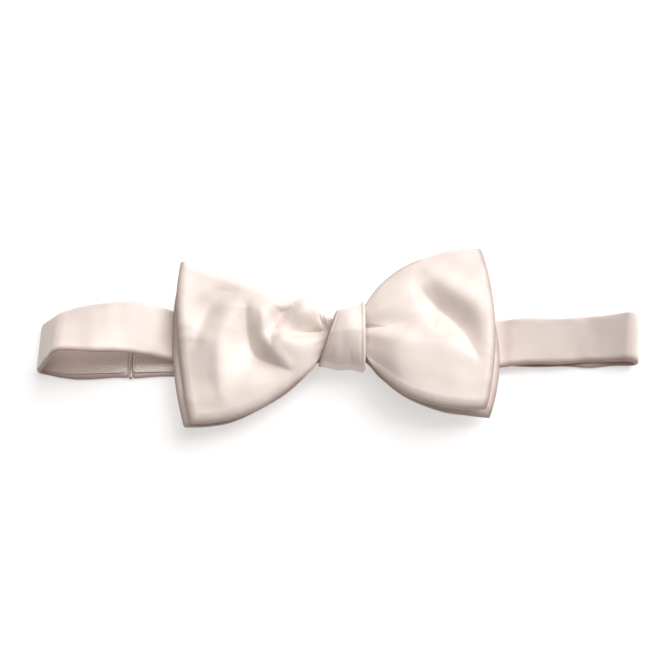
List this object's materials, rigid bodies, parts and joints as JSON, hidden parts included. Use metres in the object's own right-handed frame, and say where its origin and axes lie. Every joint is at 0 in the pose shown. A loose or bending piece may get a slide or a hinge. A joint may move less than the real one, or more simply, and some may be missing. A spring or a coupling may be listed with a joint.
{
  "type": "pre-tied bow tie",
  "caption": "White satin bow with a wrapped knot on an adjustable neck band, lying on its back with the band laid as a flattened loop",
  "frame": {"origin": "middle of the footprint, on the surface that the tie lies on", "axes": "+X along the bow and the neck band to the right as seen from above, +Y up the bow as it is worn, +Z out of the surface towards the viewer of the knot"},
  "size_m": [0.2224, 0.0668, 0.0196],
  "materials": {
    "satin": "white satin, soft sheen",
    "seam_satin": "stitched satin edge",
    "clasp_metal": "dull dark metal"
  },
  "bodies": {
    "root": {"front_bow": "satin", "rear_bow": "satin", "knot": "satin", "neck_band": "satin", "seam_strip_left": "seam_satin", "seam_strip_right": "seam_satin", "clasp": "clasp_metal"}
  },
  "joints": []
}
